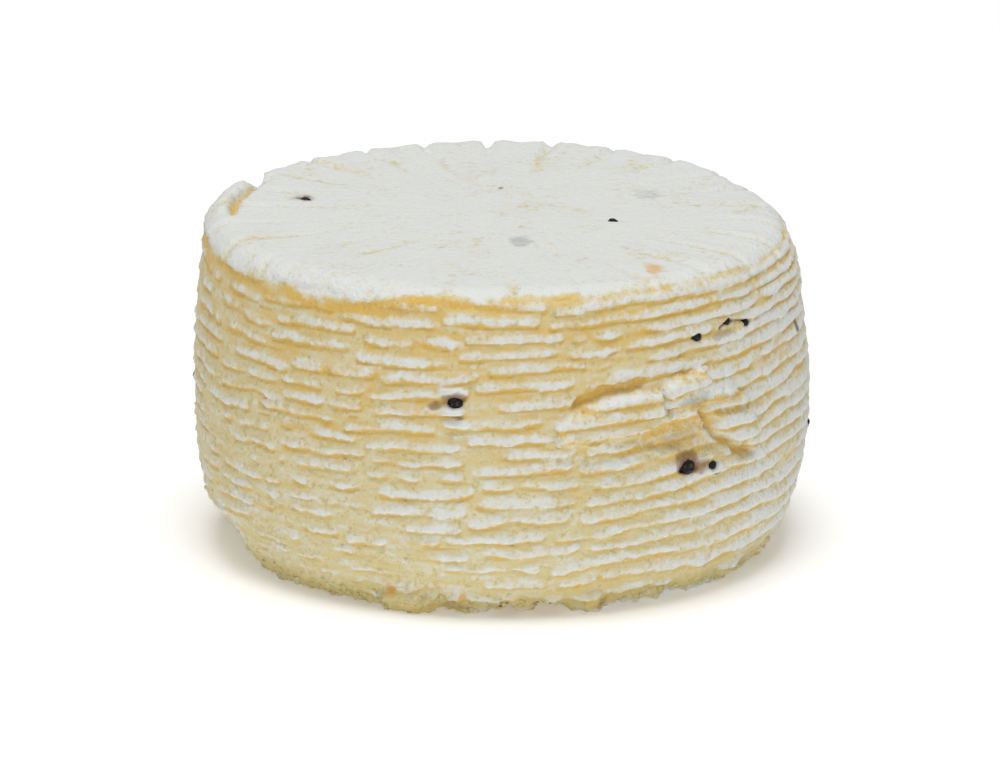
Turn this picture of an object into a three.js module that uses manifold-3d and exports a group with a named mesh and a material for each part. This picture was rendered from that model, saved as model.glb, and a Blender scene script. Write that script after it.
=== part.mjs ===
// A small drum of young sheep cheese, turned out of a woven basket, with whole peppercorns set in its rind.
// Millimetres, +Z up. The origin is the middle of the flat base. Bearings are in degrees round the drum:
// 0 is the front (-Y), 90 is the right side (+X), 180 is the back and -90 is the left side.
import * as THREE from 'three';
import { mergeVertices } from 'three/addons/utils/BufferGeometryUtils.js';
import Module from 'manifold-3d';

// Drum: the wall is widest at the belly and draws in above and below it. The top leans a little to the right.
const HEIGHT = 81;
const BELLY_RADIUS = 75;
const BELLY_HEIGHT = 41;
const TOP_INSET = 3.4;
const BASE_INSET = 9.5;
const BASE_CURVE = 3.8;
const SHOULDER = 6;
const TOP_LEAN = 0.0075;
const FLAT_RADIUS = 58;

// Basket print: panels of stacked ridges, each panel a part of a ridge out of step with the next, with the
// ridges lower where two panels join.
const PANELS = 18;
const PANEL_START = 12.6;
const COLUMNS_PER_PANEL = 5;
const RIDGES = 18;
const RIDGE_PITCH = 4.05;
const FIRST_GROOVE = 2.6;
const CREST_PHASE = 0.45;
const RIDGE_DEPTH = 1.5;
const PANEL_STEP = 0.28;
const PANEL_JOIN = 0.4;
const RIDGE_SLOPE = 0.055;
const SLOPE_FADE = 18;

// Worn side of the wall, where the ridges have nearly gone.
const WORN = { bearing: -66, height: 26, spread: 42, reach: 30, left: 0.35 };

// Rim: radial slots of the basket's floor leave notches between low lobes.
const LOBES = 26;
const LOBE_START = 182.5;
const NOTCH_SIDE = 3;
const NOTCH_LENGTH = 15;
const NOTCH_TILT = 13;

// Broken lip on the left of the rim: a lobe that stands up, a crack behind it and a wide gap at its end.
const LIP = { bearing: -102, spread: 17, rise: 2.1 };
const CRACK = { bearing: -104, spread: 11, depth: 2.4, radius: 65 };
const GAP = { bearing: -120.5, side: 5 };

// Torn place on the right of the front: a lifted flap that climbs to the right over a hollow.
const FLAP = { from: 7, to: 51, low: 48.4, high: 57, half: 5.2, lift: 2.2 };
const HOLLOW = { bearing: 38, spread: 16, height: 41.5, reach: 6.5, depth: 3 };

// Crumbly foot of the wall with a piece missing on the left, and the unevenness of a hand-filled mould.
const FOOT_BITE = { bearing: -78, spread: 17, height: 9, depth: 3.2 };
const FOOT_HEIGHT = 9;
const FOOT_CRUMB = 1.5;
const SWELL = 0.45;
const TOP_RINGS = [61, 46, 30, 14];

// Peppercorns: whole ones in the wall and on top, sunk by a share of their radius.
const PEPPER_RADIUS = 2.3;
const WALL_PEPPER = [
  { bearing: -8.2, height: 54.3, size: 0.95, sunk: 0.75 },
  { bearing: 36.9, height: 34.6, size: 1, sunk: 0.5 },
  { bearing: 43, height: 33.5, size: 0.55, sunk: 0.5 },
  { bearing: 39.9, height: 65.7, size: 0.6, sunk: 0.6 },
  { bearing: 48, height: 67.5, size: 0.5, sunk: 0.7 },
  { bearing: 53.4, height: 65.6, size: 0.42, sunk: 0.5 },
  { bearing: 89, height: 28.2, size: 1, sunk: 0.3 },
  { bearing: -86.7, height: 41.3, size: 0.75, sunk: 0.6 },
];
const TOP_PEPPER = [
  { x: -47.6, y: 11.4, size: 0.75, sunk: 0.5 },
  { x: 27.3, y: -6.2, size: 0.7, sunk: 0.6 },
];
const BACK_PEPPERS = 13;
const BACK_FROM = 104;
const BACK_TO = 262;
const BACK_LOW = 12;
const BACK_HIGH = 68;
const BACK_SIZE = { least: 0.6, most: 1 };
const BACK_SUNK = 0.4;
const GOLDEN = 0.618034;

const COLUMNS = PANELS * COLUMNS_PER_PANEL;
const SEED = 41;

const wasm = await Module();
wasm.setup();

/** Seeded random numbers from 0 to 1. */
function randomSource(seed) {
  let state = seed;
  return () => {
    state = (state + 0x6d2b79f5) | 0;
    let mixed = Math.imul(state ^ (state >>> 15), 1 | state);
    mixed = (mixed + Math.imul(mixed ^ (mixed >>> 7), 61 | mixed)) ^ mixed;
    return ((mixed ^ (mixed >>> 14)) >>> 0) / 4294967296;
  };
}

const random = randomSource(SEED);
const ridgeStrength = Array.from({ length: PANELS * RIDGES }, () => 0.6 + 0.4 * random());
const footCrumbs = Array.from({ length: COLUMNS * 3 }, () => random() - 0.5);

/** Smallest signed turn from one bearing to another. */
function turn(from, to) {
  return THREE.MathUtils.euclideanModulo(to - from + 180, 360) - 180;
}

/** One at the middle of a span and nought past its ends, along a smooth bell. */
function bell(distance, spread) {
  return 1 - THREE.MathUtils.smoothstep(Math.abs(distance), 0, spread);
}

/** Full over most of a span, falling off only near its ends. */
function plateau(distance, spread) {
  return 1 - THREE.MathUtils.smoothstep(Math.abs(distance), 0.6 * spread, spread);
}

/** Radius of the wall's crests at a height. */
function wallRadius(height) {
  if (height > BELLY_HEIGHT) {
    const up = (height - BELLY_HEIGHT) / (HEIGHT - BELLY_HEIGHT);
    return BELLY_RADIUS - TOP_INSET * up ** 2;
  }
  const down = (BELLY_HEIGHT - height) / BELLY_HEIGHT;
  return BELLY_RADIUS - BASE_INSET * down ** BASE_CURVE;
}

/** Point at a bearing, radius and height. */
function place(bearing, radius, height) {
  const angle = THREE.MathUtils.degToRad(bearing);
  return new THREE.Vector3(radius * Math.sin(angle), -radius * Math.cos(angle), height);
}

/** Low swells of the wall, a few to the turn. */
function swell(bearing, height) {
  const angle = THREE.MathUtils.degToRad(bearing);
  return SWELL * (Math.sin(3 * angle + height / 17) + Math.sin(7 * angle - height / 11 + 2)) / 2;
}

/** How far the torn place stands out of the wall, or below it. */
function tear(bearing, height) {
  const along = (bearing - FLAP.from) / (FLAP.to - FLAP.from);
  const middle = FLAP.low + (FLAP.high - FLAP.low) * along;
  const flap = plateau(2 * along - 1, 1) * plateau(height - middle, FLAP.half);
  const hollow = plateau(bearing - HOLLOW.bearing, HOLLOW.spread) * bell(height - HOLLOW.height, HOLLOW.reach);
  return FLAP.lift * flap - HOLLOW.depth * hollow;
}

/** How deep the missing piece of the foot goes. */
function footBite(bearing, height) {
  const low = 1 - THREE.MathUtils.smoothstep(height, FOOT_BITE.height / 2, FOOT_BITE.height);
  return FOOT_BITE.depth * plateau(turn(FOOT_BITE.bearing, bearing), FOOT_BITE.spread) * low;
}

/** Height of the top over a point, from its lean to the right. */
function topHeight(bearing, radius) {
  return HEIGHT - TOP_LEAN * radius * Math.sin(THREE.MathUtils.degToRad(bearing));
}

/** How much of the ridges is left: less on the worn side and towards the crumbly foot. */
function sharpness(bearing, height) {
  const across = turn(WORN.bearing, bearing) / WORN.spread;
  const up = (height - WORN.height) / WORN.reach;
  const worn = bell(Math.hypot(across, up), 1);
  const foot = THREE.MathUtils.smoothstep(height, 0, FOOT_HEIGHT);
  return (1 - (1 - WORN.left) * worn) * (0.5 + 0.5 * foot);
}

/** One ring of the wall: the crest or the groove of a ridge, following the print's slope and steps. */
function ridgeRing(ridge, isCrest) {
  const phase = isCrest ? CREST_PHASE : 0;
  const level = FIRST_GROOVE + (ridge + phase) * RIDGE_PITCH;
  const fromEdge = Math.min(level, HEIGHT - level) / SLOPE_FADE;
  const follow = THREE.MathUtils.clamp(fromEdge - 0.15, 0, 1);
  return (column) => {
    const bearing = columnBearing(column);
    const panel = Math.floor(column / COLUMNS_PER_PANEL);
    const across = (column % COLUMNS_PER_PANEL) / COLUMNS_PER_PANEL;
    const lens = PANEL_JOIN + (1 - PANEL_JOIN) * Math.sqrt(Math.sin(Math.PI * across));
    const step = (panel % 2 ? PANEL_STEP : -PANEL_STEP) / 2 * lens;
    const side = wallRadius(level) * Math.sin(THREE.MathUtils.degToRad(bearing));
    const height = level + follow * (RIDGE_SLOPE * side + step * RIDGE_PITCH);
    const strength = lens * ridgeStrength[panel * RIDGES + ridge] * sharpness(bearing, height);
    const sunk = RIDGE_DEPTH * (isCrest ? 0.5 - 0.5 * strength : 0.5 + 0.5 * strength);
    const crumb = FOOT_CRUMB * footCrumbs[column + COLUMNS * (ridge % 3)] * bell(height, FOOT_HEIGHT);
    const torn = tear(turn(0, bearing), height) - footBite(bearing, height);
    const radius = wallRadius(height) - sunk + swell(bearing, height) + torn + crumb;
    return place(bearing, radius, height);
  };
}

/** One ring of the rounded shoulder between wall and top, raised where the lip stands up. */
function shoulderRing(angle) {
  const inset = SHOULDER * (1 - Math.cos(angle));
  const drop = SHOULDER * (1 - Math.sin(angle));
  return (column) => {
    const bearing = columnBearing(column);
    const rise = LIP.rise * plateau(turn(LIP.bearing, bearing), LIP.spread) * Math.sin(angle);
    const radius = wallRadius(HEIGHT - SHOULDER) - RIDGE_DEPTH / 2 - inset + swell(bearing, HEIGHT);
    return place(bearing, radius, topHeight(bearing, radius) - drop + rise);
  };
}

/** One ring of the top, cracked behind the lip where it passes there. */
function topRing(radius, crackDepth) {
  return (column) => {
    const bearing = columnBearing(column);
    const crack = crackDepth * plateau(turn(CRACK.bearing, bearing), CRACK.spread);
    const wave = SWELL * Math.sin(THREE.MathUtils.degToRad(5 * bearing) + radius / 9) / 2;
    return place(bearing, radius, topHeight(bearing, radius) + wave - SWELL / 2 - crack);
  };
}

/** Flat base, whose edge the lowest groove meets. */
function baseRing(column) {
  return place(columnBearing(column), FLAT_RADIUS, 0);
}

/** Bearing of a column of the grid. */
function columnBearing(column) {
  return PANEL_START + 360 * column / COLUMNS;
}

/** Closed drum from rings of points, with a fan at the base and one at the top. */
function drumFromRings(rings, baseCentre, topCentre) {
  const points = rings.flatMap((ring) => Array.from({ length: COLUMNS }, (_, column) => ring(column)));
  const triangles = [];
  const base = points.push(baseCentre) - 1;
  const top = points.push(topCentre) - 1;
  const lastRing = (rings.length - 1) * COLUMNS;
  for (let column = 0; column < COLUMNS; column += 1) {
    const next = (column + 1) % COLUMNS;
    triangles.push(base, next, column);
    triangles.push(top, lastRing + column, lastRing + next);
    for (let below = 0; below < lastRing; below += COLUMNS) {
      const above = below + COLUMNS;
      triangles.push(below + column, below + next, above + next);
      triangles.push(below + column, above + next, above + column);
    }
  }
  const vertices = new Float32Array(points.flatMap((point) => point.toArray()));
  return solidFrom(vertices, new Uint32Array(triangles));
}

function solidFrom(vertProperties, triVerts) {
  return new wasm.Manifold(new wasm.Mesh({ numProp: 3, vertProperties, triVerts }));
}

/** Closed solid of a three.js shape moved to its place. */
function solidFromGeometry(geometry, matrix) {
  const bare = geometry.clone();
  bare.deleteAttribute('normal');
  bare.deleteAttribute('uv');
  const merged = mergeVertices(bare, 1e-4).applyMatrix4(matrix);
  return solidFrom(new Float32Array(merged.attributes.position.array), new Uint32Array(merged.index.array));
}

/** Square bar on edge, laid along a radius of the rim so that it cuts a notch that deepens outwards. */
function notchCutter(bearing, side) {
  const bar = new THREE.BoxGeometry(side, NOTCH_LENGTH, side);
  const turned = new THREE.Euler(THREE.MathUtils.degToRad(NOTCH_TILT), THREE.MathUtils.degToRad(45), 0, 'XYZ');
  const local = new THREE.Matrix4().makeRotationFromEuler(turned);
  const outwards = new THREE.Matrix4().makeRotationZ(THREE.MathUtils.degToRad(bearing));
  const radius = BELLY_RADIUS - TOP_INSET;
  const matrix = outwards.multiply(local).setPosition(place(bearing, radius, topHeight(bearing, radius)));
  return solidFromGeometry(bar, matrix);
}

/** One peppercorn of a size, turned at random, its middle below the skin by a share of its radius. */
function peppercorn(point, size) {
  const ball = new THREE.DodecahedronGeometry(PEPPER_RADIUS * size);
  const turned = new THREE.Euler(6 * random(), 6 * random(), 6 * random());
  const matrix = new THREE.Matrix4().makeRotationFromEuler(turned).setPosition(point);
  return solidFromGeometry(ball, matrix);
}

/** Where a peppercorn's middle lies when it is sunk into the wall. */
function inWall({ bearing, height, size, sunk }) {
  const skin = wallRadius(height) - RIDGE_DEPTH / 2 + tear(turn(0, bearing), height);
  return place(bearing, skin - sunk * PEPPER_RADIUS * size, height);
}

/** Where a peppercorn's middle lies when it is sunk into the top. */
function inTop({ x, y, size, sunk }) {
  return new THREE.Vector3(x, y, HEIGHT - TOP_LEAN * x - sunk * PEPPER_RADIUS * size);
}

/** Peppercorns of the back, spread by the golden ratio over bearing and height. */
function backPeppercorns() {
  return Array.from({ length: BACK_PEPPERS }, (_, index) => ({
    bearing: BACK_FROM + (BACK_TO - BACK_FROM) * (index + 0.5) / BACK_PEPPERS,
    height: BACK_LOW + (BACK_HIGH - BACK_LOW) * ((index * GOLDEN) % 1),
    size: BACK_SIZE.least + (BACK_SIZE.most - BACK_SIZE.least) * ((index * GOLDEN * GOLDEN) % 1),
    sunk: BACK_SUNK,
  }));
}

function cheeseSolid() {
  const rings = [baseRing];
  for (let ridge = 0; ridge < RIDGES; ridge += 1) {
    rings.push(ridgeRing(ridge, false), ridgeRing(ridge, true));
  }
  rings.push(shoulderRing(Math.PI / 6), shoulderRing(Math.PI / 3), shoulderRing(Math.PI / 2));
  rings.push(topRing(CRACK.radius, CRACK.depth));
  TOP_RINGS.forEach((radius) => rings.push(topRing(radius, 0)));
  const drum = drumFromRings(rings, new THREE.Vector3(0, 0, 0), new THREE.Vector3(0, 0, HEIGHT - SWELL / 2));

  const lobeTurn = 360 / LOBES;
  const notches = Array.from({ length: LOBES }, (_, lobe) => LOBE_START + lobe * lobeTurn)
    .filter((bearing) => Math.abs(turn(GAP.bearing, bearing)) > lobeTurn / 2)
    .map((bearing) => notchCutter(bearing, NOTCH_SIDE));
  notches.push(notchCutter(GAP.bearing, GAP.side));
  const notched = notches.reduce((solid, cutter) => solid.subtract(cutter), drum);

  const wallPepper = [...WALL_PEPPER, ...backPeppercorns()].map((corn) => peppercorn(inWall(corn), corn.size));
  const topPepper = TOP_PEPPER.map((corn) => peppercorn(inTop(corn), corn.size));
  return [...wallPepper, ...topPepper].reduce((solid, corn) => solid.add(corn), notched);
}

function geometryOf(solid) {
  const { vertProperties, triVerts } = solid.getMesh();
  const geometry = new THREE.BufferGeometry();
  geometry.setAttribute('position', new THREE.BufferAttribute(vertProperties, 3));
  geometry.setIndex(new THREE.BufferAttribute(triVerts, 1));
  geometry.computeVertexNormals();
  return geometry;
}

const rind = new THREE.MeshStandardMaterial({ color: 0xd0c6a8, roughness: 0.8, metalness: 0 });
const cheese = new THREE.Mesh(geometryOf(cheeseSolid()), rind);
cheese.name = 'cheese';

const wheel = new THREE.Group();
wheel.add(cheese);

export default wheel;
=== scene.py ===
"""A drum of young sheep cheese turned out of a woven basket, with whole peppercorns set in its rind.

Shapes are worked out in millimetres and put into meshes in metres. Bearings are degrees round the drum: 0 is the
front (-Y), 90 the right side (+X), 180 the back and -90 the left side.
"""
import math

import bpy
import numpy as np
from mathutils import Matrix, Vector


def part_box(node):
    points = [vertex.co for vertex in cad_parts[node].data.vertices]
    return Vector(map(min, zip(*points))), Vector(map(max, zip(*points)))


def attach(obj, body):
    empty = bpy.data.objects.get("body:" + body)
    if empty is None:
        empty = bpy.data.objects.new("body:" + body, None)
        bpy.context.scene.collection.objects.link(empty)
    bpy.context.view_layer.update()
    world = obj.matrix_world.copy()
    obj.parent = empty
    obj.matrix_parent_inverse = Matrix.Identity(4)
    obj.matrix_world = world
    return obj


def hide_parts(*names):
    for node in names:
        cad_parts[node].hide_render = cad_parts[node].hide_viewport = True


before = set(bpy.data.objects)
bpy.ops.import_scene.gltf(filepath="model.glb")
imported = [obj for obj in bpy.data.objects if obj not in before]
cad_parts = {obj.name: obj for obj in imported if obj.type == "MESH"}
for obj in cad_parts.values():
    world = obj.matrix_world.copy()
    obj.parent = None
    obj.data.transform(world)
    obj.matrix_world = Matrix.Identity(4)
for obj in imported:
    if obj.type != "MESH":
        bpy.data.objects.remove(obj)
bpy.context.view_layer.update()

MM = 0.001

# Drum, from the box of the solid it stands for. The wall is widest at the belly and draws in above and below it.
# The top leans a little to the right, and the skin lies under the crests of the print. The broken lobe of the rim takes
# up LIP_RISE of the box, and stands LIP_SHOWN above the skin beside it.
CHEESE_LOW, CHEESE_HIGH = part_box("cheese")
LIP_RISE = 2.1
LIP_SHOWN = 0.8
TOP_LEAN = 0.0075
BELLY_RADIUS = (CHEESE_HIGH.y - CHEESE_LOW.y) / MM / 2
HEIGHT = (CHEESE_HIGH.z - CHEESE_LOW.z) / MM - LIP_RISE - TOP_LEAN * (BELLY_RADIUS - 6)
BELLY_HEIGHT = 41
TOP_INSET = 3.4
BASE_INSET = 9.5
BASE_CURVE = 3.8
SHOULDER = 6
FLAT_RADIUS = 58
SKIN_DEPTH = 0.6
WALL_TOP = HEIGHT - SHOULDER
MM_PER_DEGREE = BELLY_RADIUS * math.pi / 180

# Grid of the skin: columns lie closer on the front, and rings of the top at its rim, where the finest detail is.
COLUMNS = 520
FRONT_CROWDING = 0.46
BASE_ROWS = 4
WALL_ROWS = 142
SHOULDER_ROWS = 14
TOP_ROWS = 30
TOP_CROWDING = 1.4

# Basket print: panels of stacked rows of dashes, each panel a part of a row out of step with the next, apart from the
# RUNNING_PANELS of the right side. A row's end lies up to STAGGER of a panel off the join, and JOINS such ends repeat.
PANELS = 18
PANEL_START = 12.6
ROW_PITCH = 4.05
FIRST_ROW = 2.6
DASH_RISE, GROOVE_DEPTH = 0.42, 0.3
PANEL_STEP = 0.36
JOINS, STAGGER = 24, 0.25
RUNNING_PANELS = 5
PANEL_JITTER = 0.15
DASH_HALF, SHORTER_BY = 0.27, 0.08
SHORT_BEARING, SHORT_SPREAD = -75, 60
ROW_SLOPE = 0.055
SLOPE_FADE = 16

# Rim: radial slots of the basket's floor leave notches between low lobes, and a lobe on the left has broken up.
# The white of the top ends lower on the left than in the middle, with an ochre band under it.
LOBES = 26
LOBE_START = 182.5
NOTCH_DEPTH, NOTCH_HALF = 2.2, 2.1
LIP_FROM, LIP_TO, LIP_LEAN = -118.6, -84, 0.3
CRACK_BEARING, CRACK_SPREAD, CRACK_RADIUS, CRACK_DEPTH = -103, 18, 65, 2.8
GAP_BEARING, GAP_HALF, GAP_DEPTH = -121.3, 2.6, 3.4
RIM_RADIUS = 71
WHITE_EDGE, WHITE_DROP = HEIGHT - 1.2, 3.2
WORN_CORNER, WORN_SPREAD, WORN_DEPTH = 92, 44, 2

# Foot: crumbly, with a piece missing on the left.
FOOT_HEIGHT = 10
FOOT_LUMP_RISE, FOOT_GAP_RISE = 2, 2.6
BITE_BEARING, BITE_SPREAD, BITE_HEIGHT, BITE_DEPTH = -78, 17, 13, 3.2

# Torn place, as corners of bearing and height: a lifted slab, a block, a ledge and a flap round a hollow, with the
# crack between hollow and flap and the gap over the slab.
SLAB = ((10, 48.4), (13.2, 52), (21.9, 54.9), (26.5, 55.9), (30.1, 54.7), (30.9, 51.4), (33, 49), (30, 47.2),
        (24.8, 46.2), (15.6, 43.3), (10.2, 45.2))
BLOCK = ((30.7, 54.4), (31.9, 56.8), (35.3, 57.8), (40, 58.7), (41.6, 55.6), (37.5, 53.9), (32.4, 52.3))
LEDGE = ((33.9, 50.6), (42.8, 52.1), (49.1, 51.6), (52.9, 47.8), (48.9, 47), (41, 50.1), (37.3, 48.1))
FLAP = ((42.7, 46.8), (46.1, 46.8), (52.6, 45.9), (55.9, 40.4), (54.2, 36.9), (49, 37), (44.2, 42.4))
HOLLOW = ((29.6, 46.6), (33.9, 48.1), (39.7, 47.5), (42.7, 43.5), (45.3, 38.4), (48, 35), (37.4, 37.5), (28.5, 40.6),
          (20.4, 43))
TORN_CRACK = ((40.2, 47.9), (43.5, 41.6), (49, 36.3), (54.3, 33.6))
SLAB_GAP = ((14.7, 54.3), (17.6, 55.7), (21.9, 56.6), (27, 57.4))
SLAB_RISE, BLOCK_RISE, LEDGE_RISE, FLAP_RISE = 2.3, 2.9, 1.6, 1.5
HOLLOW_DEPTH, TORN_CRACK_DEPTH, SLAB_GAP_DEPTH = 1.5, 2.2, 1.7
TORN_MIDDLE, TORN_SPREAD = 30, 40

# Split in the skin between two peppercorns.
SPLIT_DEPTH = 0.7
PEPPER_CRACK = ((45.7, 66.6), (48.1, 67.6), (49.7, 67.4), (52.7, 66.6), (54.1, 65.9))

# Peppercorns: whole ones in the wall (bearing, height, size, sunk) and on top (x, y, size, sunk), as a share of the
# full radius, with more spread over the back by the golden ratio.
PEPPER_RADIUS = 2.3
WALL_PEPPER = (
    (-8.2, 54.3, 0.95, 0.75), (36.9, 34.6, 1, 0.5), (43, 33.5, 0.55, 0.5), (39.9, 65.7, 0.6, 0.6),
    (48, 67.5, 0.5, 0.7), (53.4, 65.6, 0.42, 0.5), (89, 28.2, 1, 0.3), (-86.7, 41.3, 0.75, 0.6),
)
TOP_PEPPER = ((-47.6, 11.4, 0.66, 0.7), (27.3, -6.2, 0.62, 0.7))
BACK_PEPPERS = 13
BACK_FROM, BACK_TO = 104, 262
BACK_LOW, BACK_HIGH = 12, 68
BACK_LEAST, BACK_MOST = 0.6, 1
BACK_SUNK = 0.4
GOLDEN = 0.618034

# Blotches on the wall (bearing, height, half width, half height, strength) and on the top (x, y, half width, half
# depth, strength): brown round peppercorns and at the foot, grey where pepper lies under the skin, rusty specks,
# white lumps, lumps of the foot and gaps under it. Of the wall's brown, the three round the big peppercorn left of the
# front are painted shade round its hole, and those at bearings 1 and 9 are painted shade in the foot's gaps; the others
# are stains.
WALL_BROWN_STAIN_AND_SHADE = ((-8.2, 56, 4.2, 1.6, 0.75), (-11.8, 53.6, 2.2, 1.4, 0.75), (-8, 51, 3.6, 0.6, 0.75),
              (36.4, 36.8, 4.6, 2.6, 0.75), (40.3, 34.4, 5, 2.2, 0.65), (35, 42, 8, 3, 0.42), (-9, 2.6, 5.5, 2, 0.55),
              (1, 1.6, 3.4, 1, 0.9), (9, 1.8, 3.4, 1.1, 0.9), (21, 3.2, 2.6, 1.6, 0.6))
TOP_BROWN = ((-48.6, 11.4, 5, 6, 0.42), (0, 21.7, 0.8, 1.8, 0.8))
WALL_GREY = ((47, 65.2, 5.5, 1.8, 0.5), (74.4, 58.5, 1.5, 3, 0.8), (43.9, 31.2, 2.4, 0.7, 0.8),
             (-87, 40.8, 2.6, 2.4, 0.6))
TOP_GREY = ((5, -26.2, 4.5, 8, 0.48), (36.7, 17.9, 6, 7, 0.38))
WALL_RUST = ((19.3, 9.9, 1.1, 0.9, 0.8), (15.1, 7.9, 1.1, 0.8, 0.8), (-14, 67.3, 0.8, 0.5, 1), (-22, 6.6, 2, 2, 0.8),
             (-7.4, 5.2, 1.8, 1.2, 0.8))
TOP_RUST = ((36.4, -50.1, 3.2, 9, 0.7), (12.7, 58.1, 0.8, 1.8, 0.9))
WHITE_LUMPS = ((1.5, 21.2, 1.5, 1, 1), (-8.2, 52.4, 3.2, 1.3, 1.5), (-8.2, 57.4, 4.6, 0.8, 0.8),
               (-8, 49.6, 4.4, 1.1, 0.6))
FOOT_LUMPS = ((-20, 2.2, 9, 4.5, 1.2), (19, 3, 4, 3.6, 0.8), (54, 3, 5, 3, 0.6), (-9, 3, 4, 3, 0.5))
FOOT_GAPS = ((1, 0.8, 3.4, 2.2, 1), (9, 0.8, 3.6, 2.4, 1), (13, 0.8, 2, 2.6, 0.8), (28, 0.8, 9, 3, 0.55),
             (38, 0.8, 5, 2, 0.7))

# Loose crumbs that cling to the foot and to torn edges.
CRUMBS = 520
CRUMB_LEAST, CRUMB_MOST = 0.28, 1.1
CRUMB_COLUMNS, CRUMB_ROWS, CRUMB_CREASE = 9, 5, 0.5
PEPPER_COLUMNS, PEPPER_ROWS, PEPPER_CREASE = 30, 18, 0.24

# Finish, in millimetres: grains of curd and of the dust on it, the wrinkles of a peppercorn's husk, and their bumps.
CURD_SIZE, DUST_SIZE, RIND_BUMP = 2.4, 1.1, 0.4
SPECKLE_GAIN = 2.6
HUSK_SIZE, HUSK_BUMP = 0.7, 0.35

# Studio, in metres and watts: a white floor with a faint glow of its own, a white sky, a lamp overhead and another in
# front.
FLOOR_HALF, FLOOR_GLOW, SKY = 6, 0.19, 0.29
LAMPS = (("key", (-0.05, -0.2, 2.5), 1.4, 43.5), ("fill", (0.1, -1.7, 0.4), 0.8, 5.6))

# Camera: degrees above the drum, metres away, millimetres up to what it looks at and across the picture.
CAMERA_RISE, CAMERA_DISTANCE = 16.5, 1.9
TARGET_HEIGHT, PICTURE_WIDTH, SENSOR_WIDTH = 38.4, 1000 / 4.093, 36


def smooth(start, end, value):
    """Rises from 0 at start to 1 at end along 3t^2 - 2t^3."""
    t = np.clip((value - start) / (end - start), 0, 1)
    return t * t * (3 - 2 * t)


def turn(start, bearing):
    """Smallest signed turn, in degrees, from one bearing to another."""
    return (bearing - start + 180) % 360 - 180


def plateau(distance, spread):
    """1 over the middle six tenths of a span, falling smoothly to 0 at its ends."""
    return 1 - smooth(0.6 * spread, spread, np.abs(distance))


rng = np.random.default_rng(41)
LATTICE = 256
lattice_order = rng.permutation(LATTICE)
lattice_slope = rng.normal(size=(LATTICE, 3))
lattice_slope /= np.linalg.norm(lattice_slope, axis=1, keepdims=True)


def noise(x, y, z):
    """Gradient noise: each whole-number corner has a random slope, and the eight round a point blend by a quintic."""
    place = np.stack(np.broadcast_arrays(x, y, z)).astype(float)
    corner = np.floor(place).astype(int)
    part = place - corner
    fade = part ** 3 * (part * (part * 6 - 15) + 10)
    total = np.zeros(place.shape[1:])
    for step in np.ndindex(2, 2, 2):
        key = corner[0] + step[0]
        for axis in (1, 2):
            key = lattice_order[key % LATTICE] + corner[axis] + step[axis]
        slope = lattice_slope[lattice_order[key % LATTICE]]
        reach = sum(slope[..., axis] * (part[axis] - step[axis]) for axis in range(3))
        weight = np.prod([fade[axis] if step[axis] else 1 - fade[axis] for axis in range(3)], axis=0)
        total += weight * reach
    return 1.6 * total


def grain(spot, size, octaves=3):
    """Sum of noises, each half the size and half the height of the last; size is the coarsest, in millimetres."""
    return sum(noise(*(axis * 2 ** k / size for axis in spot)) / 2 ** k for k in range(octaves))


def wall_radius(height):
    """Radius of the wall's crests: a parabola above the belly and a steeper power curve below it."""
    up = np.clip((height - BELLY_HEIGHT) / (HEIGHT - BELLY_HEIGHT), 0, None)
    down = np.clip((BELLY_HEIGHT - height) / BELLY_HEIGHT, 0, 1)
    return BELLY_RADIUS - TOP_INSET * up ** 2 - BASE_INSET * down ** BASE_CURVE


def segment_distance(x, y, start, end):
    """Distance from points to a straight segment, by the nearest share along it."""
    dx, dy = end[0] - start[0], end[1] - start[1]
    share = np.clip(((x - start[0]) * dx + (y - start[1]) * dy) / (dx * dx + dy * dy), 0, 1)
    return np.hypot(x - start[0] - share * dx, y - start[1] - share * dy)


def patch_depth(bearing, height, corners):
    """Signed distance in millimetres from points of the wall to a polygon's edge, positive inside it."""
    across = bearing * MM_PER_DEGREE
    nearest = np.full(across.shape, np.inf)
    inside = np.zeros(across.shape, bool)
    places = [(b * MM_PER_DEGREE, z) for b, z in corners]
    for (x0, y0), (x1, y1) in zip(places, places[1:] + places[:1]):
        nearest = np.minimum(nearest, segment_distance(across, height, (x0, y0), (x1, y1)))
        crosses = (y0 > height) != (y1 > height)
        inside ^= crosses & (across < x0 + (height - y0) * (x1 - x0) / (y1 - y0 + 1e-9))
    return np.where(inside, nearest, -nearest)


def line_distance(bearing, height, points):
    """Distance in millimetres from points of the wall to a broken line."""
    places = [(b * MM_PER_DEGREE, z) for b, z in points]
    across = bearing * MM_PER_DEGREE
    return np.min([segment_distance(across, height, a, b) for a, b in zip(places, places[1:])], axis=0)


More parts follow.
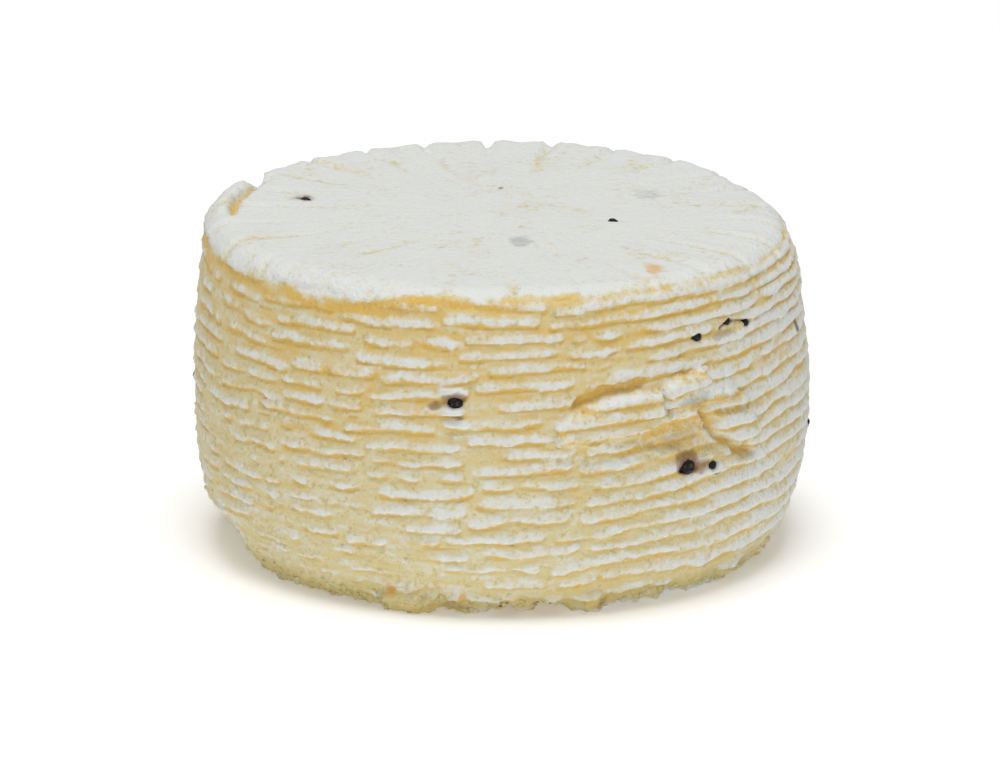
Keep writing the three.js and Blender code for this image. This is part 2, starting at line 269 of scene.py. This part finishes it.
def drum_skin():
    """The plain drum on a grid of rows (base, wall, shoulder, top) and columns round it.

    Returns a dict of arrays, rows by columns: bearing, radius, height, the outward normal's two parts (out and up),
    the spot in space, and level, the way up the wall and over the shoulder that the print's rows count from.
    """
    lap = np.arange(COLUMNS) / COLUMNS * 2 * np.pi
    bearing = np.degrees(lap - FRONT_CROWDING * np.sin(lap))
    ones = np.ones((1, COLUMNS))
    level = np.linspace(0.5, WALL_TOP, WALL_ROWS)[:, None]
    follow = np.clip(np.minimum(level, WALL_TOP - level) / SLOPE_FADE, 0, 1)
    wall_height = level + follow * ROW_SLOPE * BELLY_RADIUS * np.sin(np.radians(bearing))
    lean = wall_radius(wall_height + 0.5) - wall_radius(wall_height - 0.5)
    steep = np.hypot(1, lean)
    roll = np.linspace(0, np.pi / 2, SHOULDER_ROWS + 1)[1:, None]
    neck = wall_radius(WALL_TOP) - SKIN_DEPTH - SHOULDER
    base = np.linspace(0.1, 1, BASE_ROWS)[:, None] * FLAT_RADIUS
    top = neck * (1 - np.linspace(0, 1, TOP_ROWS + 2)[1:-1, None] ** TOP_CROWDING)
    over = WALL_TOP + SHOULDER * np.pi / 2
    parts = {
        "radius": (base, wall_radius(wall_height) - SKIN_DEPTH, neck + SHOULDER * np.cos(roll), top),
        "height": (0 * base, wall_height, WALL_TOP + SHOULDER * np.sin(roll), 0 * top + HEIGHT),
        "out": (0 * base, 1 / steep, np.cos(roll), 0 * top),
        "up": (0 * base - 1, -lean / steep, np.sin(roll), 0 * top + 1),
        "level": (0 * base, level, WALL_TOP + SHOULDER * roll, over + neck - top),
    }
    skin = {name: np.vstack([part * ones for part in rows]) for name, rows in parts.items()}
    skin["bearing"] = turn(0, np.broadcast_to(bearing, skin["radius"].shape))
    angle = np.radians(skin["bearing"])
    skin["spot"] = np.stack([skin["radius"] * np.sin(angle), -skin["radius"] * np.cos(angle), skin["height"]])
    return skin


def wear_map(skin):
    """0 where the print is crisp, 1 where it has gone: worn low on the left and at the foot, crisp on the right."""
    bearing, height = skin["bearing"], skin["height"]
    left = plateau(turn(-62, bearing), 70) * (1 - smooth(28, 60, height))
    foot = 1 - smooth(3, 18, height)
    back = 0.25 * plateau(turn(200, bearing), 60) * smooth(18, 50, height)
    patchy = 0.26 * grain(skin["spot"], 24, 2)
    return np.clip(0.1 + 0.42 * left + 0.45 * foot + back + patchy, 0, 1)


def basket_print(skin, wear, lifted):
    """Print of the basket's weave: in every step of the level lies a row of lens-shaped dashes.

    A noise of its own gives each row the half thickness of its dashes, so that they taper and break, more often on the
    left, and another sets how high in the step they lie. A dash is crisp below, where a groove runs, and soft above.
    Rows end at a panel's edge, each at its own place, but run on over the panels of the right side and over what the
    tear has lifted. Returns the dash and the groove under it, each from 0 to 1; the groove is cut into the relief, and
    its mask also paints the shade under each dash, as ochre and less white.
    """
    x, y, z = skin["spot"]
    wander = 0.26 * noise(x / 26, y / 26, z / 13) + 0.06 * noise(x / 8, y / 8, z / 5)
    count = (skin["level"] - FIRST_ROW) / ROW_PITCH + wander
    stagger = rng.uniform(-STAGGER, STAGGER, JOINS)[np.floor(count).astype(int) % JOINS]
    bearing = skin["bearing"]
    place = (bearing - PANEL_START) * PANELS / 360 + stagger
    panel = np.floor(place).astype(int)
    to_join = (0.5 - np.abs(place - panel - 0.5)) * 360 / PANELS * MM_PER_DEGREE
    inside = smooth(0, 2.6, to_join + 0.5 * noise(x / 3, y / 3, z / 3))
    inside = np.maximum(inside, smooth(18, 26, bearing) * (1 - smooth(99, 107, bearing)))
    step = PANEL_STEP * (panel % 2 - 0.5) + rng.uniform(-PANEL_JITTER, PANEL_JITTER, PANELS)[panel % PANELS]
    count = count - step * (panel % PANELS >= RUNNING_PANELS)
    row = np.floor(count)
    phase = count - row
    short = plateau(turn(SHORT_BEARING, bearing), SHORT_SPREAD)
    long_wave, short_wave = noise(x / 14, y / 14, row * 7.31), noise(x / 5.5, y / 5.5, row * 3.17 + 40)
    own = (1.2 - 0.8 * short) * long_wave + (0.6 + 0.7 * short) * short_wave
    strength = smooth(-0.7, 0.7, own + 0.6 - 0.12 * short - wear) * inside
    strength = np.maximum(strength, 0.85 * smooth(0.2, 1.2, lifted))
    middle = 0.45 + 0.2 * noise(x / 9, y / 9, row * 5.3 + 90)
    half = (DASH_HALF - SHORTER_BY * short) * strength
    ragged = 0.14 * grain((x, y, z), 1.8, 2)
    crisp = smooth(-0.1, 0.14, half - (middle - phase) + ragged)
    soft = smooth(-0.24, 0.2, half - (phase - middle) + ragged)
    dash = crisp * soft * smooth(0.02, 0.45, strength)
    # Groove below each dash: cut into the relief, and also painted ochre and less white as the dash's shade.
    shaded_groove = np.exp(-((phase - middle + half + 0.15) / 0.15) ** 2) * smooth(0.05, 0.5, strength)
    over = 1 - smooth(HEIGHT - 3.5, HEIGHT + 1, skin["level"])
    return dash * over, shaded_groove * over


def torn_place(skin):
    """Lifted slab, block, ledge and flap with sharp edges, a smooth hollow among them, a crack and a gap, roughened.

    Returns the height added to the wall, how far the lifted pieces stand out, and masks of torn edges and bare paste.
    """
    x, y, z = skin["spot"]
    bearing = skin["bearing"] + 0.7 * grain((x, y, z), 3.5, 2)
    height = skin["height"] + 0.7 * grain((x + 50, y, z), 3.5, 2)
    pieces = [
        rise * smooth(-0.3, 0.8, patch_depth(bearing, height, corners))
        for rise, corners in ((SLAB_RISE, SLAB), (BLOCK_RISE, BLOCK), (LEDGE_RISE, LEDGE), (FLAP_RISE, FLAP))
    ]
    lifted = np.maximum.reduce(pieces)
    hollow = smooth(-0.8, 2.4, patch_depth(bearing, height, HOLLOW)) * (1 - smooth(0, 0.6, lifted))
    rough = 0.5 * grain((x, y, z + 30), 2.5, 2)
    crack = 1 - smooth(0.2, 1.5, line_distance(bearing, height, TORN_CRACK) + rough)
    gap = 1 - smooth(0.2, 1.9, line_distance(bearing, height, SLAB_GAP) + rough)
    here = (np.abs(turn(TORN_MIDDLE, skin["bearing"])) < TORN_SPREAD) * np.clip(skin["out"], 0, 1)
    edge = np.maximum.reduce([piece * (piece.max() - piece) for piece in pieces])
    deep = HOLLOW_DEPTH * hollow + TORN_CRACK_DEPTH * crack + SLAB_GAP_DEPTH * gap * (lifted < 0.3)
    bare = np.maximum.reduce([0.5 * hollow, crack, gap]) * (1 - smooth(0.3, 1, lifted))
    return here * (lifted - deep), here * lifted, here * edge, here * bare


def rim_notches(skin):
    """V-shaped notches at equal turns, deepest at the rim and fading over the top, with lobes between them.

    One wide gap, beside the broken lobe, is cut straight back from the front.
    """
    lobe_turn = 360 / LOBES
    off = (turn(LOBE_START, skin["bearing"]) + lobe_turn / 2) % lobe_turn - lobe_turn / 2
    off = off + 1.2 * grain(skin["spot"], 12, 2)
    arc = np.abs(off) * np.pi / 180 * skin["radius"]
    reach = smooth(50, 68, skin["radius"]) * smooth(HEIGHT - 9, HEIGHT - 1, skin["height"])
    reach = reach * (0.2 + 0.8 * smooth(60, 95, np.abs(skin["bearing"])))
    from_gap = np.abs(turn(GAP_BEARING, skin["bearing"]))
    depth = NOTCH_DEPTH * np.clip(0.75 + 0.6 * noise(*(axis / 16 for axis in skin["spot"])), 0.2, 1)
    notch = depth * (1 - smooth(0.2, NOTCH_HALF, arc)) * (from_gap > lobe_turn / 2)
    x, y, _ = skin["spot"]
    gap_turn = math.radians(GAP_BEARING)
    gap_x, gap_y = RIM_RADIUS * math.sin(gap_turn), -RIM_RADIUS * math.cos(gap_turn)
    gap = GAP_DEPTH * (1 - smooth(GAP_HALF - 1.2, GAP_HALF, np.abs(x - gap_x))) * smooth(gap_y - 14, gap_y - 5, y)
    lobe = 0.5 * (1 - np.clip(2 * np.abs(off) / lobe_turn, 0, 1) ** 2)
    return reach * (lobe - notch) - gap * smooth(HEIGHT - 9, HEIGHT - 1, skin["height"])


def broken_lip(skin):
    """The lobe that stands up on the left of the rim, and the crack behind it.

    Returns the rise and the crack, each from 0 to 1.
    """
    bearing = skin["bearing"]
    edge = CRACK_RADIUS + 0.6 * noise(*(axis / 5 for axis in skin["spot"]))
    rise = smooth(LIP_FROM, LIP_FROM + 3, bearing) * (1 - smooth(LIP_TO - 14, LIP_TO, bearing))
    rise = rise * smooth(edge, edge + 1.6, skin["radius"]) * smooth(HEIGHT - 9, HEIGHT - 1, skin["height"])
    crack = plateau(turn(CRACK_BEARING, bearing), CRACK_SPREAD)
    crack = crack * np.exp(-((skin["radius"] - edge) / 1.1) ** 2) * smooth(HEIGHT - 2, HEIGHT, skin["height"])
    return rise, crack


def blotches(skin, wall, top=()):
    """Soft-edged ovals on the wall and on the top, their outlines bent by noise; the strongest counts."""
    x, y, z = skin["spot"]
    ragged = 1 + 0.55 * grain((x, y, z), 3.5, 2)
    total = np.zeros(x.shape)
    on_wall = skin["out"] > 0.3
    for bearing, height, half_width, half_height, strength in wall:
        across = turn(bearing, skin["bearing"]) * MM_PER_DEGREE / half_width
        away = np.hypot(across, (z - height) / half_height) * ragged
        total = np.maximum(total, strength * on_wall * (1 - smooth(0.4, 1.1, away)))
    for east, north, half_width, half_depth, strength in top:
        away = np.hypot((x - east) / half_width, (y - north) / half_depth) * ragged
        total = np.maximum(total, strength * (skin["up"] > 0.7) * (1 - smooth(0.4, 1.1, away)))
    return total


def peppercorn_places():
    """Centres and radii of every peppercorn, its middle below the skin by a share of its radius."""
    index = np.arange(BACK_PEPPERS)
    back = np.stack([
        BACK_FROM + (BACK_TO - BACK_FROM) * (index + 0.5) / BACK_PEPPERS,
        BACK_LOW + (BACK_HIGH - BACK_LOW) * (index * GOLDEN % 1),
        BACK_LEAST + (BACK_MOST - BACK_LEAST) * (index * GOLDEN * GOLDEN % 1),
        0 * index + BACK_SUNK,
    ], axis=1)
    bearing, height, size, sunk = np.vstack([WALL_PEPPER, back]).T
    middle = wall_radius(height) - SKIN_DEPTH - sunk * PEPPER_RADIUS * size
    angle = np.radians(bearing)
    wall = np.stack([middle * np.sin(angle), -middle * np.cos(angle), height], axis=1)
    east, north, top_size, top_sunk = np.array(TOP_PEPPER).T
    top = np.stack([east, north, HEIGHT - TOP_LEAN * east - top_sunk * PEPPER_RADIUS * top_size], axis=1)
    return np.vstack([wall, top]), PEPPER_RADIUS * np.concatenate([size, top_size])


def pepper_seats(skin, centres, radii):
    """How deep the skin dips round each peppercorn, in holes wider than high, and a ring of stain and painted shade."""
    spot = np.moveaxis(skin["spot"], 0, -1)
    dip = np.zeros(spot.shape[:2])
    ring = np.zeros(spot.shape[:2])
    ragged = 1 + 0.16 * noise(*(axis / 2 for axis in skin["spot"]))
    tall = 1 + 0.45 * skin["out"]
    for centre, radius in zip(centres, radii):
        offset = spot - centre
        offset[..., 2] *= tall
        away = np.linalg.norm(offset, axis=-1) * ragged
        dip = np.maximum(dip, 1.1 * radius * (1 - smooth(0.9 * radius, 1.2 * radius, away)))
        ring = np.maximum(ring, 1 - smooth(0.9 * radius, 1.7 * radius, away))
    return dip, ring


def cheese_form():
    """Adds every relief to the plain drum.

    Returns the points, rows by columns by 3, the masks of its finish, and how readily crumbs cling to each point.
    """
    skin = drum_skin()
    spot = skin["spot"]
    x, y, z = spot
    bearing, height, level = skin["bearing"], skin["height"], skin["level"]
    on_wall = np.clip(skin["out"], 0, 1)
    underside = skin["up"] < -0.99
    wear = wear_map(skin)
    torn, lifted, edge, bare = torn_place(skin)
    dash, shaded_groove = (part * (1 - 0.8 * bare) for part in basket_print(skin, wear, lifted))
    rise, crack = broken_lip(skin)
    dip, ring = pepper_seats(skin, *peppercorn_places())
    split = on_wall * (1 - smooth(0.1, 0.7, line_distance(bearing, height, PEPPER_CRACK)))
    lumps = blotches(skin, WHITE_LUMPS)
    foot_lumps = blotches(skin, FOOT_LUMPS)
    foot = (1 - smooth(2, FOOT_HEIGHT, height)) * on_wall
    bite = plateau(turn(BITE_BEARING, bearing), BITE_SPREAD) * (1 - smooth(BITE_HEIGHT / 2, BITE_HEIGHT, height))
    crumble = 1.1 * grain(spot, 9, 2) + 1.2 * np.abs(grain(spot, 3.2, 2)) - 0.3
    sandy = grain(spot, 1.9, 2)
    fine = 0.2 * sandy * (0.55 + wear)
    wave = 0.5 * grain(spot, 40, 2)
    belly = 0.8 * plateau(turn(90, bearing), 35) * np.exp(-((height - 40) / 16) ** 2)
    corner = WORN_DEPTH * plateau(turn(WORN_CORNER, bearing), WORN_SPREAD)
    corner = corner * np.exp(-((level - WALL_TOP - 4) / 7) ** 2)
    white_edge = WHITE_EDGE - WHITE_DROP * plateau(turn(-68, bearing), 55) + 1.3 * grain(spot, 8, 3)
    on_top = smooth(-1.1, 1.1, level - white_edge)
    slots = np.abs(((bearing - LOBE_START) * LOBES / 360 + 0.12 * grain(spot, 20, 2)) % 1 - 0.5) * 2
    slots = smooth(0.72, 1, slots) * smooth(22, 52, skin["radius"]) * smooth(-0.2, 0.5, noise(x / 22, y / 22, 3.3))

    relief = (DASH_RISE * dash - GROOVE_DEPTH * shaded_groove) * on_wall + belly - corner
    relief = relief + torn + rim_notches(skin) - CRACK_DEPTH * crack - dip - SPLIT_DEPTH * split + lumps
    relief = relief + FOOT_LUMP_RISE * foot_lumps
    relief = relief + fine + wave * np.where(on_top > 0, 0.6, 1) + foot * crumble - BITE_DEPTH * bite
    relief = relief + 0.2 * dash * grain(spot, 2.2, 2) * on_wall - 0.3 * slots * on_top
    relief = np.where(underside, 0, relief)
    ragged_foot = np.clip(grain(spot, 9, 2) + 0.1, 0, None) * 1.8
    ragged_foot = ragged_foot + FOOT_GAP_RISE * blotches(skin, FOOT_GAPS)
    ragged_foot = ragged_foot * (1 - smooth(0.5, 4.5, height)) * on_wall
    lean = -TOP_LEAN * x * smooth(HEIGHT - 20, HEIGHT, height)
    lift = LIP_SHOWN * rise - 0.2 * dash * on_wall - 0.25 * lifted + ragged_foot + lean

    angle = np.radians(bearing)
    radius = skin["radius"] + relief * skin["out"] + LIP_LEAN * rise
    raised = np.clip(height + relief * skin["up"] + lift, 0, None)
    points = np.stack([radius * np.sin(angle), -radius * np.cos(angle), raised], axis=-1)

    right = smooth(15, 60, bearing) * (1 - smooth(120, 170, np.abs(bearing)))
    low_left = plateau(turn(-55, bearing), 85) * (1 - smooth(25, 55, height))
    patchy = grain(spot, 6, 3)
    streaks = grain((x / 7, y / 7, z), 1.7, 2)
    band = plateau(turn(-48, bearing), 62) * np.exp(-((level - white_edge + 2) / 1.2) ** 2)
    side_bloom = 0.52 * dash + 0.14 * patchy + 0.12 * sandy + 0.26 * streaks
    side_bloom = side_bloom + 0.24 * right + 0.12 * low_left + 0.08 - 0.3 * foot
    # Under each dash the white is painted down as shade.
    side_bloom = side_bloom - 0.4 * band - 0.34 * shaded_groove + 0.25 * smooth(0.2, 1.2, edge)
    top_bloom = 0.86 + 0.3 * grain(spot, 13, 4) + 0.1 * sandy - 0.4 * slots
    bloom = on_top * top_bloom + (1 - on_top) * side_bloom
    ochre = smooth(24, 64, height) * (1 - 0.35 * right) * (1 - 0.5 * plateau(turn(-85, bearing), 50))
    # Ochre rises with the oil of the grooves and under each dash, where it is also painted shade.
    oil_and_shade = 0.22 + 0.22 * ochre + 0.55 * shaded_groove + 0.2 * patchy - 0.3 * streaks
    oil_and_shade = oil_and_shade + 0.6 * bare + 0.4 * band - 0.08 * low_left
    masks = {
        "bloom": np.clip(bloom * (1 - 0.7 * bare) + lumps - 0.9 * crack, 0, 1),
        "oil_and_shade": np.clip(oil_and_shade * (1 - 0.85 * on_top) + 0.22 * slots * on_top + 0.7 * crack, 0, 1),
        # Brown: pepper stains, with painted shade in the ring round each peppercorn's hole, round the big front one and
        # in the foot's gaps.
        "brown_stain_and_shade": np.clip(blotches(skin, WALL_BROWN_STAIN_AND_SHADE, TOP_BROWN) + 0.5 * ring + 0.8 * split, 0, 1),
        "grey": np.clip(blotches(skin, WALL_GREY, TOP_GREY) + 0.35 * split, 0, 1),
        "rust": blotches(skin, WALL_RUST, TOP_RUST),
        "foot": np.maximum(foot, 0.42 * on_wall * (1 - smooth(8, 40, height))),
    }
    cling = on_wall * (1 - smooth(2, 7, height)) + 0.5 * smooth(0.3, 1.3, edge) + 0.02 * low_left * on_wall
    return points, masks, cling


def closed_grid(points, low_pole, high_pole):
    """Vertices and faces of a grid that closes round its columns and ends in a point below and a point above."""
    rows, columns = points.shape[:2]
    vertices = np.vstack([points.reshape(-1, 3), low_pole, high_pole])
    row, column = np.meshgrid(np.arange(rows - 1) * columns, np.arange(columns), indexing="ij")
    after = (column + 1) % columns
    quads = np.stack([row + column, row + after, row + columns + after, row + columns + column], axis=-1)
    ring = np.arange(columns)
    ahead = (ring + 1) % columns
    last = (rows - 1) * columns
    low_fan = np.stack([0 * ring + rows * columns, ahead, ring], axis=-1)
    high_fan = np.stack([0 * ring + rows * columns + 1, last + ring, last + ahead], axis=-1)
    return vertices, quads.reshape(-1, 4), np.vstack([low_fan, high_fan])


def build_mesh(name, vertices, *faces):
    """A smooth-shaded object at the origin from vertices in millimetres and blocks of faces of equal size."""
    mesh = bpy.data.meshes.new(name)
    mesh.vertices.add(len(vertices))
    mesh.vertices.foreach_set("co", (vertices * MM).astype(np.float32).ravel())
    corners = np.concatenate([block.ravel() for block in faces])
    sizes = np.concatenate([np.full(len(block), block.shape[1]) for block in faces])
    mesh.loops.add(len(corners))
    mesh.loops.foreach_set("vertex_index", corners.astype(np.int32))
    mesh.polygons.add(len(sizes))
    mesh.polygons.foreach_set("loop_start", (np.cumsum(sizes) - sizes).astype(np.int32))
    mesh.polygons.foreach_set("use_smooth", np.ones(len(sizes), bool))
    mesh.update(calc_edges=True)
    mesh.validate()
    piece = bpy.data.objects.new(name, mesh)
    bpy.context.scene.collection.objects.link(piece)
    return piece


def set_masks(piece, masks):
    """Stores one number a vertex for each named mask."""
    for name, values in masks.items():
        piece.data.attributes.new(name, "FLOAT", "POINT").data.foreach_set("value", values.astype(np.float32).ravel())


def strip_map(piece, points):
    """Lays a closed grid out as one strip: across by its columns, up by the mean way along its profile."""
    rows, columns = points.shape[:2]
    steps = np.linalg.norm(np.diff(points, axis=0), axis=-1).mean(axis=1)
    ends = np.hypot(points[(0, -1), :, 0], points[(0, -1), :, 1]).mean(axis=1)
    way = np.cumsum(np.concatenate([ends[:1], steps, ends[1:]]))
    v = way[:-1, None] / way[-1] * np.ones((1, columns))
    u = np.arange(columns) / columns * np.ones((rows, 1))
    u_next = u + 1 / columns
    left, right = np.stack([u, v], axis=-1), np.stack([u_next, v], axis=-1)
    middle = (u[0] + u_next[0]) / 2
    quads = np.stack([left[:-1], right[:-1], right[1:], left[1:]], axis=2)
    low_fan = np.stack([np.stack([middle, 0 * middle], axis=-1), right[0], left[0]], axis=1)
    high_fan = np.stack([np.stack([middle, 0 * middle + 1], axis=-1), left[-1], right[-1]], axis=1)
    spots = np.concatenate([block.ravel() for block in (quads, low_fan, high_fan)])
    piece.data.uv_layers.new(name="OFBake").data.foreach_set("uv", spots.astype(np.float32))


def linear(code):
    """sRGB hex to linear RGBA."""
    channels = [int(code[k:k + 2], 16) / 255 for k in (1, 3, 5)]
    return tuple(c / 12.92 if c <= 0.04045 else ((c + 0.055) / 1.055) ** 2.4 for c in channels) + (1,)


def add(tree, kind, links=None, **settings):
    """Adds a node: settings are its own properties, links give inputs a value or another node's output."""
    node = tree.nodes.new(kind)
    for name, value in settings.items():
        setattr(node, name, value)
    for socket, value in (links or {}).items():
        if isinstance(value, bpy.types.NodeSocket):
            tree.links.new(value, node.inputs[socket])
        else:
            node.inputs[socket].default_value = value
    return node


def per_metre(millimetres):
    """Noise scale that makes features about this many millimetres wide."""
    return 1 / (millimetres * MM)


# Young sheep-cheese rind: pressed curd, granular and matt, beige turning ochre and a little oily in the grooves, with a
# dry white bloom on what stands out, brown and grey stains round the pepper, rusty specks, and a lemon foot. The ochre
# under each dash is partly painted shade, and so is some of the brown round the peppercorns and under the foot.
def rind_material():
    material = bpy.data.materials.new("sheep_cheese_rind")
    material.use_nodes = True
    tree = material.node_tree
    shader = tree.nodes["Principled BSDF"]
    place = add(tree, "ShaderNodeTexCoord").outputs["Object"]
    curd, dust = (
        add(tree, "ShaderNodeTexNoise",
            {"Vector": place, "Scale": per_metre(size), "Detail": 2.0, "Roughness": 0.6}).outputs["Fac"]
        for size in (CURD_SIZE, DUST_SIZE)
    )
    both = add(tree, "ShaderNodeMath", {0: curd, 1: dust}).outputs[0]
    speckle = add(tree, "ShaderNodeMath", {0: both, 1: SPECKLE_GAIN, 2: -SPECKLE_GAIN},
                  operation="MULTIPLY_ADD").outputs[0]
    pits = add(tree, "ShaderNodeMath", {0: speckle, 1: -1.0}, operation="MULTIPLY").outputs[0]
    mask = {
        name: add(tree, "ShaderNodeAttribute", attribute_name=name).outputs["Fac"]
        for name in ("oil_and_shade", "foot", "bloom", "brown_stain_and_shade", "grey", "rust")
    }
    mask["pits"] = pits
    colour = linear("#D8CC9D")
    for name, stir, low, high, most, code in (
        ("oil_and_shade", 0.4, 0.08, 0.92, 1.0, "#DAB458"),
        ("pits", 0.0, 0.05, 0.9, 0.5, "#B99D5E"),
        ("foot", 0.5, 0.0, 1.0, 0.65, "#C9B974"),
        ("bloom", 0.36, 0.02, 0.85, 1.0, "#DEE0DC"),
        ("brown_stain_and_shade", 0.12, 0.18, 0.95, 0.85, "#7A4E28"),
        ("grey", 0.12, 0.18, 0.95, 0.9, "#4E4A44"),
        ("rust", 0.12, 0.15, 1.0, 0.85, "#DDA43A"),
    ):
        stirred = add(tree, "ShaderNodeMath", {0: speckle, 1: stir, 2: mask[name]},
                      operation="MULTIPLY_ADD").outputs[0]
        share = add(tree, "ShaderNodeMapRange", {0: stirred, 1: low, 2: high, 4: most},
                    interpolation_type="SMOOTHSTEP").outputs[0]
        colour = add(tree, "ShaderNodeMix", {0: share, 6: colour, 7: linear(code)}, data_type="RGBA").outputs[2]
    tree.links.new(colour, shader.inputs["Base Color"])
    bump = add(tree, "ShaderNodeBump", {"Height": both, "Strength": 1.0, "Distance": RIND_BUMP * MM}).outputs[0]
    tree.links.new(bump, shader.inputs["Normal"])
    dry = add(tree, "ShaderNodeMapRange", {0: mask["bloom"], 3: 0.55, 4: 0.85}).outputs[0]
    tree.links.new(dry, shader.inputs["Roughness"])
    shader.inputs["IOR"].default_value = 1.45
    shader.inputs["Subsurface Weight"].default_value = 0.12
    shader.inputs["Subsurface Radius"].default_value = (1.0, 0.6, 0.3)
    shader.inputs["Subsurface Scale"].default_value = 1.2 * MM
    return material


# Dried black peppercorn: a wrinkled, nearly black husk with a faint waxy sheen and dusty brown high spots.
def pepper_material():
    material = bpy.data.materials.new("black_peppercorn")
    material.use_nodes = True
    tree = material.node_tree
    shader = tree.nodes["Principled BSDF"]
    place = add(tree, "ShaderNodeTexCoord").outputs["Object"]
    husk = add(tree, "ShaderNodeTexNoise",
               {"Vector": place, "Scale": per_metre(HUSK_SIZE), "Detail": 3.0}).outputs["Fac"]
    share = add(tree, "ShaderNodeMapRange", {0: husk, 1: 0.5, 2: 0.78}).outputs[0]
    links = {0: share, 6: linear("#060504"), 7: linear("#5A5148")}
    tree.links.new(add(tree, "ShaderNodeMix", links, data_type="RGBA").outputs[2], shader.inputs["Base Color"])
    bump = add(tree, "ShaderNodeBump", {"Height": husk, "Strength": 1.0, "Distance": HUSK_BUMP * MM}).outputs[0]
    tree.links.new(bump, shader.inputs["Normal"])
    shader.inputs["Roughness"].default_value = 0.55
    shader.inputs["Specular IOR Level"].default_value = 0.3
    return material


def cheese_piece(points, masks, rind):
    """The drum as one closed skin, with its masks as vertex attributes."""
    vertices, quads, fans = closed_grid(points, (0, 0, 0), (0, 0, points[-1, :, 2].mean()))
    piece = build_mesh("cheese_drum", vertices, quads, fans)
    set_masks(piece, {name: np.append(m.ravel(), (m[0].mean(), m[-1].mean())) for name, m in masks.items()})
    strip_map(piece, points)
    piece.data.materials.append(rind)
    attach(piece, "root")
    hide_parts("cheese")


def ball_grid(columns, rows):
    """Points of a unit ball on rings of latitude, without its poles."""
    around = np.arange(columns) / columns * 2 * np.pi
    up = np.linspace(-np.pi / 2, np.pi / 2, rows + 2)[1:-1, None]
    x, y, z = np.cos(up) * np.cos(around), np.cos(up) * np.sin(around), np.sin(up)
    return np.stack(np.broadcast_arrays(x, y, z), axis=-1)


def scatter_mesh(name, centres, radii, columns, rows, crease):
    """One mesh of many balls, each dented by its own folded noise of the given depth and kept above the floor."""
    vertices, quads, fans = closed_grid(ball_grid(columns, rows), (0, 0, -1), (0, 0, 1))
    index = np.arange(len(radii))
    x, y, z = np.moveaxis(vertices[None] + 7.7 * index[:, None, None], -1, 0)
    dent = crease * (np.abs(noise(2.1 * x, 2.1 * y, 2.1 * z)) + 0.4 * noise(4.3 * x, 4.3 * y, 4.3 * z))
    points = vertices[None] * ((1 - dent) * radii[:, None])[..., None] + centres[:, None]
    points[..., 2] = np.maximum(points[..., 2], 0.02)
    step = (index * len(vertices))[:, None, None]
    return build_mesh(name, points.reshape(-1, 3), (quads + step).reshape(-1, 4), (fans + step).reshape(-1, 3))


def crumbs_piece(points, masks, cling, rind):
    """Crumbs of paste half sunk in the skin at random points, chosen by how readily they cling there."""
    share = cling.ravel() / cling.sum()
    chosen = rng.choice(share.size, CRUMBS, replace=False, p=share)
    radii = CRUMB_LEAST + (CRUMB_MOST - CRUMB_LEAST) * rng.random(CRUMBS) ** 3
    centres = points.reshape(-1, 3)[chosen]
    piece = scatter_mesh("cheese_crumbs", centres, radii, CRUMB_COLUMNS, CRUMB_ROWS, CRUMB_CREASE)
    each = CRUMB_COLUMNS * CRUMB_ROWS + 2
    set_masks(piece, {name: np.repeat(m.ravel()[chosen], each) for name, m in masks.items()})
    piece.data.materials.append(rind)
    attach(piece, "root")


def peppercorn_piece():
    """All peppercorns as one mesh of creased balls."""
    piece = scatter_mesh("peppercorns", *peppercorn_places(), PEPPER_COLUMNS, PEPPER_ROWS, PEPPER_CREASE)
    piece.data.materials.append(pepper_material())
    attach(piece, "root")


def studio():
    """White floor and surroundings, with a broad soft key overhead and a weak fill from in front."""
    corners = FLOOR_HALF / MM * np.array([(-1, -1, 0), (1, -1, 0), (1, 1, 0), (-1, 1, 0)])
    floor = build_mesh("floor", corners, np.array([[0, 1, 2, 3]]))
    material = bpy.data.materials.new("white_card")
    material.use_nodes = True
    shader = material.node_tree.nodes["Principled BSDF"]
    shader.inputs["Base Color"].default_value = linear("#FBFBFB")
    shader.inputs["Roughness"].default_value = 0.9
    shader.inputs["Emission Color"].default_value = (1, 1, 1, 1)
    shader.inputs["Emission Strength"].default_value = FLOOR_GLOW
    floor.data.materials.append(material)

    scene = bpy.context.scene
    scene.world = bpy.data.worlds.new("studio")
    scene.world.use_nodes = True
    background = scene.world.node_tree.nodes["Background"]
    background.inputs["Color"].default_value = (1, 1, 1, 1)
    background.inputs["Strength"].default_value = SKY
    scene.view_settings.view_transform = "Standard"
    for name, place, size, power in LAMPS:
        light = bpy.data.lights.new(name, "AREA")
        light.size = size
        light.energy = power
        lamp = bpy.data.objects.new(name, light)
        lamp.location = place
        lamp.rotation_euler = (Vector((0, 0, HEIGHT / 2 * MM)) - lamp.location).to_track_quat("-Z", "Y").to_euler()
        scene.collection.objects.link(lamp)


def camera():
    """A long lens in front of the drum, looking down at it."""
    elevation = math.radians(CAMERA_RISE)
    target = Vector((0, 0, TARGET_HEIGHT * MM))
    lens = bpy.data.cameras.new("camera")
    lens.sensor_width = SENSOR_WIDTH
    lens.lens = SENSOR_WIDTH * CAMERA_DISTANCE / (PICTURE_WIDTH * MM)
    eye = bpy.data.objects.new("camera", lens)
    eye.location = target + CAMERA_DISTANCE * Vector((0, -math.cos(elevation), math.sin(elevation)))
    eye.rotation_euler = (target - eye.location).to_track_quat("-Z", "Y").to_euler()
    bpy.context.scene.collection.objects.link(eye)
    bpy.context.scene.camera = eye


camera()
studio()
drum_points, drum_masks, crumb_cling = cheese_form()
rind = rind_material()
cheese_piece(drum_points, drum_masks, rind)
crumbs_piece(drum_points, drum_masks, crumb_cling, rind)
peppercorn_piece()
